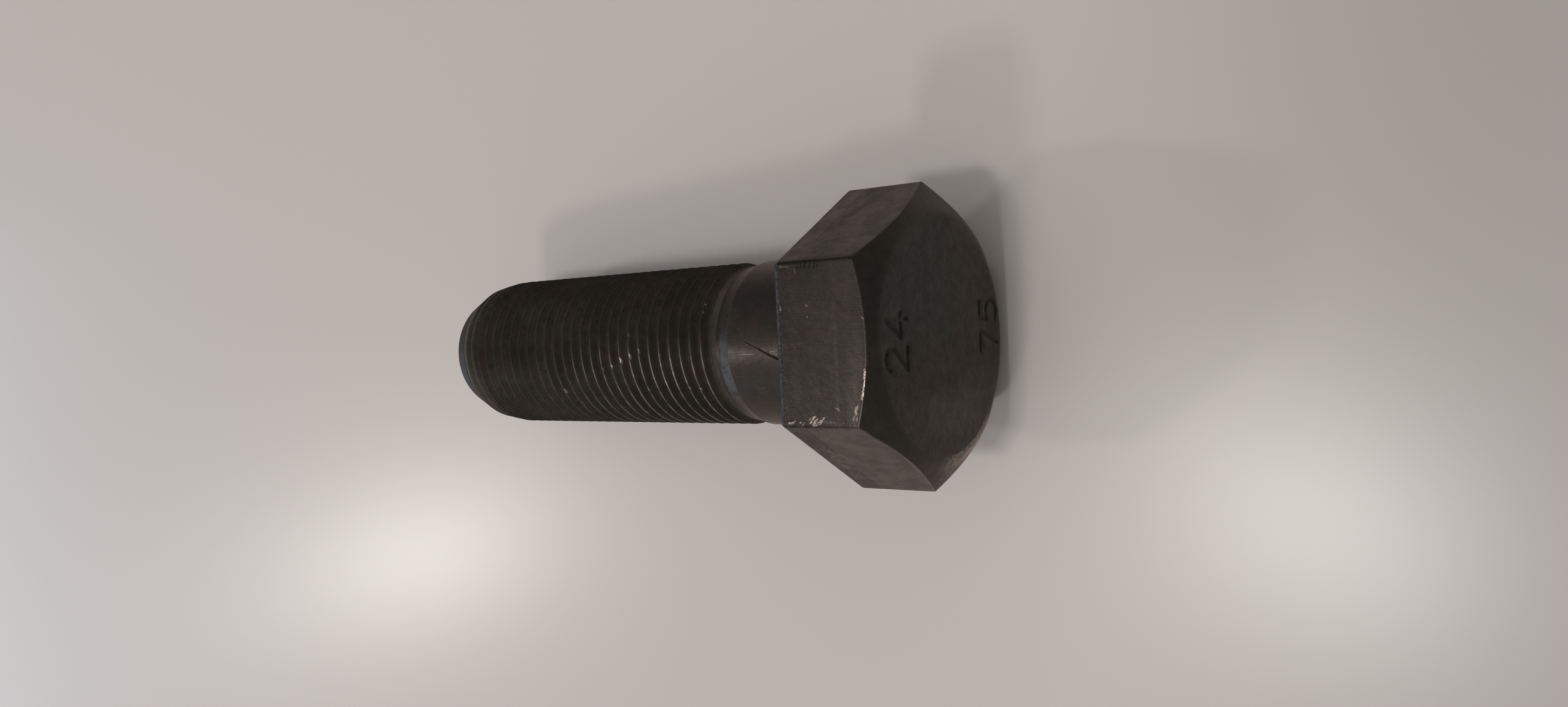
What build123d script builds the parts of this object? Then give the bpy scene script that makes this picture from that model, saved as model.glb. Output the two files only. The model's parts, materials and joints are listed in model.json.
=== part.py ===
from build123d import *
import os
from math import asin, atan2, cos, degrees, hypot, pi, radians, sin, tan

# Hexagon head bolt with a fine metric thread, forged and rolled from one piece of steel.
# It is modelled upright, with the bearing face of its head at Z = 0 and its shank below,
# and is then laid on its side as it comes to rest: on one flat of the head and on the thread end.
# Lengths are in millimetres and angles in degrees.

# Hexagon head
across_flats = 36.0
head_height = 14.7
face_diameter = 32.9
face_chamfer_angle = 29.5
corner_radius = 0.5
bearing_edge_radius = 1.2
underhead_radius = 1.0

# Plain shank
shank_diameter = 23.86
plain_length = 12.7

# Right-hand thread with flat crests and roots, in straight facets along the helix
nominal_diameter = 24.0
crest_allowance = 0.14
pitch = 2.0
flank_angle = 30
facets_per_turn = 24
shank_length = 74.0

# Where the crests cross the line of the first facet: this share of a pitch below the end face
thread_start = 0.25

# Run-out beside the plain shank: a cone down to the rolled blank, a short neck, the first rising crest
runout_cone_length = 2.1
neck_length = 1.1
first_crest_rise = 0.8
groove_fade = 2.0

# Point: a smooth cone below the incomplete crests at the end
point_diameter = 18.6
point_length = 4.7
point_edge_radius = 0.5

# Derived sizes
incomplete_length = 2 * pitch
blank_radius = (nominal_diameter - 0.6495 * pitch) / 2
root_radius = (nominal_diameter - 1.2269 * pitch) / 2
crest_radius = (nominal_diameter - crest_allowance) / 2
thread_depth = crest_radius - root_radius
flank_run = thread_depth * tan(radians(flank_angle))
flat_width = pitch / 2 - flank_run
shank_radius = shank_diameter / 2
point_radius = point_diameter / 2
neck_top = -plain_length - runout_cone_length
neck_bottom = neck_top - neck_length
thread_top = neck_bottom - first_crest_rise
end_face = -shank_length
point_top = end_face + point_length
full_crest_end = point_top + incomplete_length

# The threaded rod overshoots the point and the neck, and its crests stay clear of the turned form round them
rod_overshoot = 2 * pitch
rod_bottom = end_face - thread_start * pitch - rod_overshoot
rod_turns = round((neck_bottom + rod_overshoot - rod_bottom) / pitch)
rod_clearance = 0.3
flatness = 1e-7


def turned(profile):
    """Solid of revolution about Z from (radius, height) points that start and end on the axis."""
    outline = Polyline(*[(radius, 0, height) for radius, height in profile], close=True)
    return revolve(make_face(outline), Axis.Z)


def rounding(radius, centre, start_angle, end_angle):
    """Profile points of a small round, turned as three straight cuts from one angle to the other."""
    angles = [radians(start_angle + (end_angle - start_angle) * cut / 3) for cut in range(4)]
    return [(centre[0] + radius * cos(angle), centre[1] + radius * sin(angle)) for angle in angles]


def head():
    """Hexagonal head: two flats face along X, the top corners are turned off by a cone."""
    hexagon = RegularPolygon(across_flats / 2, 6, major_radius=False, rotation=30)
    prism = extrude(hexagon, head_height)
    prism = fillet(prism.edges().filter_by(Axis.Z), corner_radius)
    corner_reach = across_flats / cos(radians(30)) / 2 + bearing_edge_radius
    face_radius = face_diameter / 2
    cone_drop = (corner_reach - face_radius) * tan(radians(face_chamfer_angle))
    envelope = turned(
        [
            (0, 0),
            (corner_reach, 0),
            (corner_reach, head_height - cone_drop),
            (face_radius, head_height),
            (0, head_height),
        ]
    )
    blank = prism & envelope
    return fillet(blank.edges().group_by(Axis.Z)[0], bearing_edge_radius)


def plain_shank():
    """Turned shank from inside the head to the foot of the neck, with the round under the head."""
    seat_radius = shank_radius + underhead_radius
    return turned(
        [
            (0, head_height / 2),
            (seat_radius, head_height / 2),
            *rounding(underhead_radius, (seat_radius, -underhead_radius), 90, 180),
            (shank_radius, -plain_length),
            (blank_radius, neck_top),
            (blank_radius, neck_bottom),
            (0, neck_bottom),
        ]
    )


def thread_blank():
    """Turned form that the thread stays inside: the first rising crest, the incomplete crests and the point."""
    outer_radius = crest_radius + rod_clearance
    rise_slope = (crest_radius - blank_radius) / first_crest_rise
    incomplete_slope = (crest_radius - blank_radius) / incomplete_length
    cone_angle = degrees(atan2(point_length, blank_radius - point_radius))
    edge_inset = point_edge_radius * tan(radians(cone_angle / 2))
    edge_centre = (point_radius - edge_inset, end_face + point_edge_radius)
    return turned(
        [
            (0, neck_bottom),
            (blank_radius, neck_bottom),
            (outer_radius, neck_bottom - (outer_radius - blank_radius) / rise_slope),
            (outer_radius, point_top + (outer_radius - blank_radius) / incomplete_slope),
            (blank_radius, point_top),
            *rounding(point_edge_radius, edge_centre, cone_angle - 90, -90),
            (0, end_face),
        ]
    )


def helix_row(depth_share, offset):
    """Facet corners along one edge of the thread; the groove rises out as it comes to the neck."""
    row = []
    for corner in range(facets_per_turn * rod_turns + 1):
        angle = 2 * pi * corner / facets_per_turn
        height = rod_bottom + offset + pitch * corner / facets_per_turn
        fade = min(1, max(0, (neck_bottom - height) / groove_fade))
        radius = crest_radius - thread_depth * depth_share * fade
        row.append(Vector(radius * cos(angle), radius * sin(angle), height))
    return row


def polygon(*corners):
    """Flat face through its corners."""
    return Face(Wire.make_polygon(corners))


def facet(first, second, third, fourth):
    """Flat face through four corners, or two triangles where the corners don't lie in one plane."""
    normal = (second - first).cross(third - first)
    if abs(normal.dot(fourth - first)) < flatness:
        return [polygon(first, second, third, fourth)]
    return [polygon(first, second, third), polygon(first, third, fourth)]


def threaded_rod():
    """Rod with the thread along its whole length, closed at both ends by fans of triangles."""
    crest_edge = flat_width / 2
    root_edge = crest_edge + flank_run
    profile = [(0, -crest_edge), (0, crest_edge), (1, root_edge), (1, pitch - root_edge), (0, pitch - crest_edge)]
    rows = [helix_row(depth_share, offset) for depth_share, offset in profile]
    last = len(rows[0]) - 1
    faces = []
    for below, above in zip(rows, rows[1:]):
        for corner in range(last):
            faces += facet(below[corner], below[corner + 1], above[corner + 1], above[corner])
    inner_rows = rows[-2:0:-1]
    bottom_rim = rows[0][: facets_per_turn + 1] + [row[0] for row in inner_rows]
    top_rim = rows[-1][last - facets_per_turn :] + [row[last] for row in inner_rows]
    for rim, side in ((bottom_rim, -1), (top_rim, 1)):
        tip = Vector(0, 0, rim[0].Z + side * rod_overshoot)
        faces += [polygon(tip, corner, following) for corner, following in zip(rim, rim[1:] + rim[:1])]
    return Solid(Shell(faces))


def upright_bolt():
    """Head, plain shank and threaded length as one solid."""
    threaded_length = thread_blank() & threaded_rod()
    return head() + plain_shank() + threaded_length


def rest_tilt():
    """Angle between the bolt's axis and the ground when head and thread end both touch it.

    Rolling down from level, the thread end stops at whichever of its rings touches first.
    """
    rings = [(-full_crest_end, crest_radius), (-point_top, blank_radius)]
    tilts = []
    for reach, radius in rings:
        drop = across_flats / 2 - bearing_edge_radius - radius
        run = reach + bearing_edge_radius
        tilts.append(atan2(drop, run) + asin(bearing_edge_radius / hypot(drop, run)))
    return degrees(min(tilts))


def at_rest(upright):
    """The bolt on its side, head towards +X and a little raised, over the origin with its lowest point at Z = 0."""
    lying = Rot(0, 90 - rest_tilt(), 0) * upright
    box = lying.bounding_box()
    centre = box.center()
    return Pos(-centre.X, -centre.Y, -box.min.Z) * lying


os.makedirs("parts", exist_ok=True)
bolt = at_rest(upright_bolt())
export_step(bolt, "parts/bolt.step", write_pcurves=False)
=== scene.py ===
import json
import math
from collections import namedtuple

import bpy
import numpy as np
from mathutils import Matrix, Vector
from mathutils.geometry import delaunay_2d_cdt

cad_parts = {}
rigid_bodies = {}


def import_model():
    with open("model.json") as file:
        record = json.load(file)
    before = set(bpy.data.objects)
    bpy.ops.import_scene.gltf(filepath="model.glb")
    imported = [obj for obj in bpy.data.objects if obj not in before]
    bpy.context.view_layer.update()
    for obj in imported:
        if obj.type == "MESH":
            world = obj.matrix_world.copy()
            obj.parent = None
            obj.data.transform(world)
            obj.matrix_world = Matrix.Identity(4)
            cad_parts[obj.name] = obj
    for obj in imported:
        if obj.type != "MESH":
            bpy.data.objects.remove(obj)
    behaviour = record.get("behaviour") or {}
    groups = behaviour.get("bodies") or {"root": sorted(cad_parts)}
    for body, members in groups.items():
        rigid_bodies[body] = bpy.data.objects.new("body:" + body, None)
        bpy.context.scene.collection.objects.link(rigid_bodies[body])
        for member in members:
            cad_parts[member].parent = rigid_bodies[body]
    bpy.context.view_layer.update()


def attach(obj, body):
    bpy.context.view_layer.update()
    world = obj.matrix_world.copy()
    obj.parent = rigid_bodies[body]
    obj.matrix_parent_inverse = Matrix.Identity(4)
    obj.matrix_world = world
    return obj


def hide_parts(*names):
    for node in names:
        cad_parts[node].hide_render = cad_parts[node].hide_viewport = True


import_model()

# Sizes of the bolt, in millimetres
# In the bolt's own frame, a is the distance along its axis towards the head, from 0 at the bearing face,
# and angles go round the axis from +Y towards the flat that faces up.
ACROSS_FLATS = 36.0
HEAD_HEIGHT = 14.7
FACE_RADIUS = 16.45
CHAMFER = math.radians(29.5)
CORNER_RADIUS = 0.5
BEARING_ROUND = 1.2
CREASE_ROUND = 0.16
RIM_ROUND = 0.55
UNDERHEAD_FILLET = 1.0
SHANK_RADIUS = 11.93
PLAIN_LENGTH = 12.7
RUNOUT_ROUND = 0.25
CONE_END = -14.8
NECK_END = -15.9
FIRST_CREST = -16.7
PITCH = 2.0
CREST_RADIUS = 11.93
BLANK_RADIUS = 11.35
FULL_CREST_END = -65.3
POINT_TOP = -69.3
END_FACE = -74.0
END_RADIUS = 9.3
END_ROUND = 0.5

# Where the bolt lies: its bearing face's centre in the row frame, and how far its axis rises to the head
REST_TILT = math.radians(5.219673)
SEAT = Vector((29.188, 0.0, 17.8213))
AXIS = Vector((math.cos(REST_TILT), 0.0, math.sin(REST_TILT)))
ACROSS = Vector((0.0, 1.0, 0.0))
UPWARD = Vector((-math.sin(REST_TILT), 0.0, math.cos(REST_TILT)))
BOLT_TO_ROW = np.array([AXIS, ACROSS, UPWARD])
MM = 0.001
TURN = 2 * math.pi


def in_row(points):
    """Points of the bolt's own frame in millimetres, as points of the row frame in metres."""
    return (np.asarray(points) @ BOLT_TO_ROW + np.array(SEAT)) * MM


def smooth(share):
    """Eases a share between 0 and 1 at both its ends."""
    return share * share * (3 - 2 * share)


# The mesh, its finishes and its texture map
SHANK, THREAD, FLATS, CHAMFERS, FACE = range(5)
# The map is a square of MAP_SIDE millimetres, and each stretch of the surface has its place on it
MAP_SIDE = 126.0
SHANK_AT = (0.5, 77.0)
SIDES_AT = (0.5, 92.0)
SIDES_WIDTH = 125.0
TOP_AT = (99.0, 22.0)
UNDER_AT = (99.0, 66.0)
TIP_AT = (12.0, 115.0)

Ring = namedtuple("Ring", "ids angles a radius")


class Builder:
    """Collects vertices, and faces with their finish and their corners' places on the texture map."""

    def __init__(self):
        self.points = []
        self.faces = []
        self.finishes = []
        self.places = []

    def add(self, points):
        """Adds vertices and returns their numbers."""
        start = len(self.points)
        self.points.extend(tuple(map(float, point)) for point in points)
        return list(range(start, len(self.points)))

    def ring(self, a, radius, angles):
        """Adds a closed ring of vertices; a and radius are numbers or arrays, one value for each angle."""
        a = np.broadcast_to(a, angles.shape)
        radius = np.broadcast_to(radius, angles.shape)
        points = np.stack([a, radius * np.cos(angles), radius * np.sin(angles)], 1)
        return Ring(self.add(points), angles, a, radius)

    def face(self, corners, places, finish):
        """Adds a face of its different corners, or none where fewer than three differ."""
        kept = {}
        for corner, place in zip(corners, places):
            kept.setdefault(corner, place)
        if len(kept) > 2:
            self.faces.append(list(kept))
            self.places.append(list(kept.values()))
            self.finishes.append(finish)

    def bridge(self, low, high, finish, chart):
        """Adds quads between two rings that share their angles. chart places a ring's corner on the map."""
        count = len(low.ids)
        for j in range(count):
            k = (j + 1) % count
            end = TURN if k == 0 else 0.0
            corners = [low.ids[j], low.ids[k], high.ids[k], high.ids[j]]
            places = [chart(low, j, 0.0), chart(low, k, end), chart(high, k, end), chart(high, j, 0.0)]
            self.face(corners, places, finish)

    def stitch(self, few, many, finish, chart):
        """Adds triangles between two rings with different angles, both starting at angle 0."""
        few_ends = np.append(few.angles, TURN)
        many_ends = np.append(many.angles, TURN)
        i = j = 0
        while i < len(few.ids) or j < len(many.ids):
            if j == len(many.ids) or (i < len(few.ids) and few_ends[i + 1] <= many_ends[j + 1] + 1e-9):
                nodes = [(few, i), (few, i + 1), (many, j)]
                i += 1
            else:
                nodes = [(few, i), (many, j + 1), (many, j)]
                j += 1
            nodes = [(ring, k % len(ring.ids)) for ring, k in nodes]
            corners = [ring.ids[k] for ring, k in nodes]
            self.face(corners, [chart(ring, k, 0.0) for ring, k in nodes], finish)


def on_shank(angle, a):
    return (SHANK_AT[0] + angle * SHANK_RADIUS, SHANK_AT[1] + a)


def shank_chart(ring, j, turn):
    return on_shank(ring.angles[j] + turn, ring.a[j])


def side_chart(ring, j, turn):
    return (SIDES_AT[0] + (ring.angles[j] + turn) / TURN * SIDES_WIDTH, SIDES_AT[1] + ring.a[j])


def disc_chart(centre):
    """Chart of a round stretch that is seen along the axis."""

    def chart(ring, j, turn):
        angle, radius = ring.angles[j], ring.radius[j]
        return (centre[0] + radius * math.cos(angle), centre[1] + radius * math.sin(angle))

    return chart


def bend(start, corner, end, steps):
    """Points of a small rounding between two directions, both ends included."""
    t = np.linspace(0, 1, steps)[:, None, None]
    return (1 - t) ** 2 * start + 2 * t * (1 - t) * corner + t**2 * end


# Thread
# Columns round the shank, the rings in the neck and on the smooth cone that the helical rows run out into,
# and how near to them a row still has a vertex
COLUMNS = 176
THREAD_HIGH = -15.1
THREAD_LOW = -70.9
ROW_CLEARANCE = 0.02
# The grooves sink in over this length, from this place in the neck
GROOVE_START = THREAD_HIGH - 0.15
GROOVE_FADE = 1.7
# Profile from the middle of a crest to the bottom of its groove: distance along the axis, and radius
ROOT_APEX = BLANK_RADIUS - PITCH / 4 * math.sqrt(3)
ROOT_RADIUS = 0.286
PROFILE = [
    (0.0, CREST_RADIUS),
    (0.07, CREST_RADIUS - 0.006),
    (0.15, CREST_RADIUS - 0.05),
    (0.46, BLANK_RADIUS + 0.04 * math.sqrt(3)),
    (0.752, ROOT_APEX + 1.5 * ROOT_RADIUS),
    (0.88, ROOT_APEX + 2 * ROOT_RADIUS - math.sqrt(ROOT_RADIUS**2 - 0.12**2)),
    (1.0, ROOT_APEX + ROOT_RADIUS),
]
PROFILE_PLACES, PROFILE_RADII = zip(*PROFILE)
PITCH_ROWS = [-place for place in PROFILE_PLACES[-2:0:-1]] + list(PROFILE_PLACES)


def envelope(a):
    """Largest radius that the shank has at a, without its grooves."""
    return np.interp(
        a,
        [END_FACE, POINT_TOP, FULL_CREST_END, FIRST_CREST, NECK_END],
        [END_RADIUS, BLANK_RADIUS, CREST_RADIUS, CREST_RADIUS, BLANK_RADIUS],
    )


def thread_radius(a, angle):
    """Radius of the threaded shank. The helix is right-hand, with a crest at angle 0 wherever a is even."""
    along = (a - PITCH * angle / TURN) / PITCH
    from_crest = np.abs(along - np.round(along)) * PITCH
    radius = np.interp(from_crest, PROFILE_PLACES, PROFILE_RADII)
    depth = smooth(np.clip((GROOVE_START - a) / GROOVE_FADE, 0, 1))
    radius = np.where(radius < BLANK_RADIUS, BLANK_RADIUS + (radius - BLANK_RADIUS) * depth, radius)
    return np.minimum(radius, envelope(a))


def thread(builder, high, low):
    """The helical part, in rows along the helix, between ring high in the neck and ring low on the point."""
    # The helix climbs a pitch in a turn, so the rows begin and end over a pitch outside the rings
    turns = math.ceil((THREAD_HIGH - THREAD_LOW) / PITCH) + 2
    first = math.floor(THREAD_LOW / PITCH - 1.5) * PITCH
    rows = np.array([first + PITCH * turn + place for turn in range(turns) for place in PITCH_ROWS])
    angles = high.angles
    place = rows[:, None] + PITCH * angles[None, :] / TURN
    inside = (place > THREAD_LOW + ROW_CLEARANCE) & (place < THREAD_HIGH - ROW_CLEARANCE)
    radius = thread_radius(place, angles[None, :])
    points = np.stack([place, radius * np.cos(angles), radius * np.sin(angles)], 2)
    ids = dict(zip(zip(*np.nonzero(inside)), builder.add(points[inside])))

    def corner(k, j):
        """The vertex at row k and column j, or of the ring that the thread ends in, and its map place."""
        turn = 0.0
        if j == COLUMNS:
            k, j, turn = k + len(PITCH_ROWS), 0, TURN
        if (k, j) in ids:
            return ids[k, j], on_shank(angles[j] + turn, place[k, j])
        end = high if k >= len(rows) or place[k, j] > (THREAD_LOW + THREAD_HIGH) / 2 else low
        return end.ids[j], shank_chart(end, j, turn)

    for k in range(len(rows) - 1):
        for j in range(COLUMNS):
            found = [corner(k, j), corner(k, j + 1), corner(k + 1, j + 1), corner(k + 1, j)]
            builder.face(*zip(*found), THREAD)


# Rings of the shank: radii on the flat tip, places on the smooth cone, shares of the run-out cone, counts
TIP_RING_RADII = (2.5, 5.0, 7.5)
CONE_RING_PLACES = (-73.0, -72.4, -71.8, -71.3, THREAD_LOW)
RUNOUT_SHARES = (0.3, 0.5, 0.7, 0.9)
TIP_ROUND_RINGS = 6
PLAIN_RINGS = 24
FILLET_RINGS = 7
# How far the rings beside the run-out cone's two edges cut them
EDGE_EASE = 0.02


def bolt_point(builder, angles):
    """The flat tip, its rounding and the smooth cone. Gives the ring where the thread begins."""
    cone_slope = math.atan2(BLANK_RADIUS - END_RADIUS, POINT_TOP - END_FACE)
    tangent = END_ROUND * math.tan((math.pi / 2 - cone_slope) / 2)
    tip_rings = [builder.ring(END_FACE, radius, angles) for radius in TIP_RING_RADII]
    centre = builder.add([(END_FACE, 0.0, 0.0)])[0]
    start = np.array([END_FACE, END_RADIUS - tangent])[:, None]
    corner = np.array([END_FACE, END_RADIUS])[:, None]
    end = corner + tangent * np.array([math.cos(cone_slope), math.sin(cone_slope)])[:, None]
    rounded = bend(start, corner, end, TIP_ROUND_RINGS)
    cone_rings = [builder.ring(a[0], radius[0], angles) for a, radius in rounded]
    cone_rings += [builder.ring(a, float(envelope(a)), angles) for a in CONE_RING_PLACES]
    chart = disc_chart(TIP_AT)
    first = tip_rings[0]
    for j in range(COLUMNS):
        k = (j + 1) % COLUMNS
        places = [TIP_AT, chart(first, k, 0.0), chart(first, j, 0.0)]
        builder.face([centre, first.ids[k], first.ids[j]], places, SHANK)
    for low, high in zip(tip_rings, tip_rings[1:] + cone_rings[:1]):
        builder.bridge(low, high, SHANK, chart)
    for low, high in zip(cone_rings, cone_rings[1:]):
        builder.bridge(low, high, THREAD, shank_chart)
    return cone_rings[-1]


def upper_shank_profile():
    """Place and radius of each ring of the neck, the run-out cone, the plain shank and its fillet."""
    profile = [
        (THREAD_HIGH, BLANK_RADIUS),
        (CONE_END - 0.08, BLANK_RADIUS),
        (CONE_END + 0.1, BLANK_RADIUS + EDGE_EASE),
    ]
    for share in RUNOUT_SHARES:
        a = CONE_END + (-PLAIN_LENGTH - CONE_END) * share
        profile.append((a, BLANK_RADIUS + (SHANK_RADIUS - BLANK_RADIUS) * share))
    profile.append((-PLAIN_LENGTH - EDGE_EASE, SHANK_RADIUS - EDGE_EASE))
    profile.append((-PLAIN_LENGTH + RUNOUT_ROUND * 0.5, SHANK_RADIUS))
    plain = np.linspace(-PLAIN_LENGTH + RUNOUT_ROUND, -UNDERHEAD_FILLET, PLAIN_RINGS)
    profile += [(a, SHANK_RADIUS) for a in plain]
    for turn in np.linspace(0, math.pi / 2, FILLET_RINGS)[1:]:
        a = -UNDERHEAD_FILLET * (1 - math.sin(turn))
        profile.append((a, SHANK_RADIUS + UNDERHEAD_FILLET * (1 - math.cos(turn))))
    return profile


def shank(builder):
    """The whole shank from its tip. Gives the last ring of the fillet under the head."""
    angles = np.linspace(0, TURN, COLUMNS, endpoint=False)
    thread_end = bolt_point(builder, angles)
    rings = [builder.ring(a, radius, angles) for a, radius in upper_shank_profile()]
    thread(builder, rings[0], thread_end)
    for low, high in zip(rings, rings[1:]):
        builder.bridge(low, high, SHANK, shank_chart)
    return rings[-1]


# Head
# Half a sector from a corner to the middle of a flat has close columns up to NEAR_CORNER degrees
NEAR_CORNER = 8
NEAR_COLUMNS = 24
FLAT_COLUMNS = 18
BEARING_RINGS = 8
SIDE_RINGS = 38
ROUND_RINGS = 4
CHAMFER_RINGS = 7
SHARPEST_CORNER = 0.02
# Room between the fillet under the head and the next ring
FILLET_MARGIN = 0.25


def corner_angles():
    """Angles of the head's columns, close together at the six corners and wider on the flats."""
    near = np.linspace(0, NEAR_CORNER, NEAR_COLUMNS, endpoint=False)
    half = np.concatenate([near, np.linspace(NEAR_CORNER, 30, FLAT_COLUMNS)])
    sector = np.concatenate([half, 60 - half[-2:0:-1]])
    return np.radians(np.concatenate([sector + 60 * k for k in range(6)]))


def hexagon(angles, apothem, rounding):
    """Distance from the axis to a hexagon with rounded corners, two of its corners on the Y axis."""
    half_sector = math.pi / 6
    turn = np.radians(np.abs((np.degrees(angles) + 30) % 60 - 30))
    centre = (apothem - rounding) / math.cos(half_sector)
    limit = math.atan2(rounding * math.sin(half_sector), centre + rounding * math.cos(half_sector))
    flat = apothem / np.cos(half_sector - turn)
    arc = centre * np.cos(turn) + np.sqrt(np.maximum(rounding**2 - (centre * np.sin(turn)) ** 2, 0))
    return np.where(turn < limit, arc, flat)


def head_rings(builder, angles):
    """The head's rings from its bearing edge's rounding, through its sides and chamfer, to its face's rim.

    Gives them with their count at the end of the first rounding and at the end of the crease's.
    """
    apothem = ACROSS_FLATS / 2
    side = hexagon(angles, apothem, CORNER_RADIUS)
    rings = []
    for turn in np.linspace(0, math.pi / 2, BEARING_RINGS):
        inset = BEARING_ROUND * (1 - math.sin(turn))
        inner = hexagon(angles, apothem - inset, max(CORNER_RADIUS - inset, SHARPEST_CORNER))
        rings.append(builder.ring(BEARING_ROUND * (1 - math.cos(turn)), inner, angles))
    crease = HEAD_HEIGHT - (side - FACE_RADIUS) * math.tan(CHAMFER)
    for share in np.linspace(0, 1, SIDE_RINGS)[1:-1]:
        a = BEARING_ROUND + (crease - CREASE_ROUND - BEARING_ROUND) * share
        rings.append(builder.ring(a, side, angles))
    up_chamfer = np.array([math.sin(CHAMFER), -math.cos(CHAMFER)])[:, None]
    corner = np.stack([crease, side])
    chamfer_low = corner + CREASE_ROUND * up_chamfer
    for a, radius in bend(np.stack([crease - CREASE_ROUND, side]), corner, chamfer_low, ROUND_RINGS):
        rings.append(builder.ring(a, radius, angles))
    creased = len(rings)
    rim = np.stack([np.full_like(side, HEAD_HEIGHT), np.full_like(side, FACE_RADIUS)])
    chamfer_high = rim - RIM_ROUND * up_chamfer
    for share in np.linspace(0, 1, CHAMFER_RINGS)[1:-1]:
        a, radius = chamfer_low + (chamfer_high - chamfer_low) * share
        rings.append(builder.ring(a, radius, angles))
    for a, radius in bend(chamfer_high, rim, rim - np.array([0.0, RIM_ROUND])[:, None], ROUND_RINGS):
        rings.append(builder.ring(a, radius, angles))
    return rings, BEARING_RINGS, creased


def head(builder, fillet_end):
    """The head, from the fillet's last ring to its face."""
    angles = corner_angles()
    chart = disc_chart(UNDER_AT)
    under = builder.ring(0.0, SHANK_RADIUS + UNDERHEAD_FILLET + FILLET_MARGIN, angles)
    builder.stitch(fillet_end, under, FLATS, chart)
    rings, rounded, creased = head_rings(builder, angles)
    middle = builder.ring(0.0, (under.radius + rings[0].radius) / 2, angles)
    builder.bridge(under, middle, FLATS, chart)
    builder.bridge(middle, rings[0], FLATS, chart)
    # The chart changes halfway round the bearing edge, and chart and finish both do on the crease
    for i, (low, high) in enumerate(zip(rings, rings[1:])):
        if i < rounded // 2:
            builder.bridge(low, high, FLATS, chart)
        elif i < creased - 2:
            builder.bridge(low, high, FLATS, side_chart)
        else:
            builder.bridge(low, high, CHAMFERS, disc_chart(TOP_AT))
    face_disc(builder, rings[-1])


# Plain size numbers stamped in the face: the line of each digit in a cell 3.4 wide and 6 high
DIGITS = {
    "2": [(0.2, 4.9), (0.7, 5.7), (1.7, 6.0), (2.8, 5.7), (3.3, 4.8), (3.1, 3.7), (0.1, 0.1), (3.4, 0.1)],
    "4": [(2.6, 0.0), (2.6, 6.0), (0.0, 1.7), (3.5, 1.7)],
    "5": [(3.1, 5.9), (0.6, 5.9), (0.3, 3.3), (1.6, 3.7), (2.8, 3.3)]
    + [(3.4, 2.0), (2.9, 0.7), (1.7, 0.1), (0.2, 0.5)],
    "7": [(0.1, 5.9), (3.4, 5.9), (1.2, 0.0)],
}
STAMPS = [("24", (-3.9, 9.6)), ("75", (-2.4, -15.45))]
CELL_WIDTH = 4.2
CELL_HEIGHT = 6.0
DIGIT_SCALE = 0.88
STROKE_HALF_WIDTH = 0.42
STAMP_WALL = STROKE_HALF_WIDTH * 0.75
STAMP_DEPTH = 0.26
# Points of the face: a fine grid where the numbers are, and sparse rings that keep clear of it
STAMP_STEP = 0.17
STAMP_MARGIN = 0.9
FACE_RING_RADII = (14.8, 12.0, 9.0, 6.0, 3.0)
FACE_RING_POINTS = 48
FACE_CLEARANCE = 0.5


def stamped_segments():
    """Start and end of each straight stroke of the numbers, as (y, z) on the face."""
    found = []
    for text, (y, z) in STAMPS:
        for i, digit in enumerate(text):
            line = np.array([y + CELL_WIDTH * i, z]) + DIGIT_SCALE * np.array(DIGITS[digit])
            found += zip(line, line[1:])
    return found


def stamp_depth(points, segments):
    """How deep the stamped numbers press each (y, z) point of the face."""
    nearest = np.full(len(points), np.inf)
    for start, end in segments:
        run = end - start
        share = np.clip(((points - start) @ run) / (run @ run), 0, 1)
        nearest = np.minimum(nearest, np.linalg.norm(points - start - share[:, None] * run, axis=1))
    return STAMP_DEPTH * smooth(np.clip((STROKE_HALF_WIDTH - nearest) / STAMP_WALL, 0, 1))


def stamped_grid():
    """Points of a fine grid in and just round the stamped numbers, and how deep each is pressed."""
    segments = stamped_segments()
    grid = []
    for text, (y, z) in STAMPS:
        ys = np.arange(y - STAMP_MARGIN, y + CELL_WIDTH * len(text) + STAMP_MARGIN, STAMP_STEP)
        zs = np.arange(z - STAMP_MARGIN, z + CELL_HEIGHT + STAMP_MARGIN, STAMP_STEP)
        grid += [(p, q) for p in ys for q in zs if math.hypot(p, q) < FACE_RADIUS - FACE_CLEARANCE]
    grid = np.array(grid)
    depth = stamp_depth(grid, segments)
    near = depth > 0
    for shift in ((STAMP_STEP, 0), (-STAMP_STEP, 0), (0, STAMP_STEP), (0, -STAMP_STEP)):
        near |= stamp_depth(grid + np.array(shift), segments) > 0
    return grid[near], depth[near]


def face_disc(builder, rim):
    """The head's round face inside its rim, with finer triangles where the numbers are stamped."""
    edge = [(math.cos(t) * r, math.sin(t) * r) for t, r in zip(rim.angles, rim.radius)]
    stamped, depth = stamped_grid()
    turns = np.linspace(0, TURN, FACE_RING_POINTS, endpoint=False)
    sparse = [(r * math.cos(t), r * math.sin(t)) for r in FACE_RING_RADII for t in turns]
    sparse = [p for p in sparse if np.min(np.linalg.norm(stamped - np.array(p), axis=1)) > FACE_CLEARANCE]
    inside = list(map(tuple, stamped)) + sparse
    depths = list(depth) + [0.0] * len(sparse)
    ids = rim.ids + builder.add([(HEAD_HEIGHT - d, y, z) for (y, z), d in zip(inside, depths)])
    flat = edge + inside
    loop = [(i, (i + 1) % len(edge)) for i in range(len(edge))]
    _, _, triangles, originals, _, _ = delaunay_2d_cdt([Vector(p) for p in flat], loop, [], 1, 1e-6)
    for triangle in triangles:
        corners = [originals[v][0] for v in triangle]
        places = [(TOP_AT[0] + flat[c][0], TOP_AT[1] + flat[c][1]) for c in corners]
        builder.face([ids[c] for c in corners], places, FACE)


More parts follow.
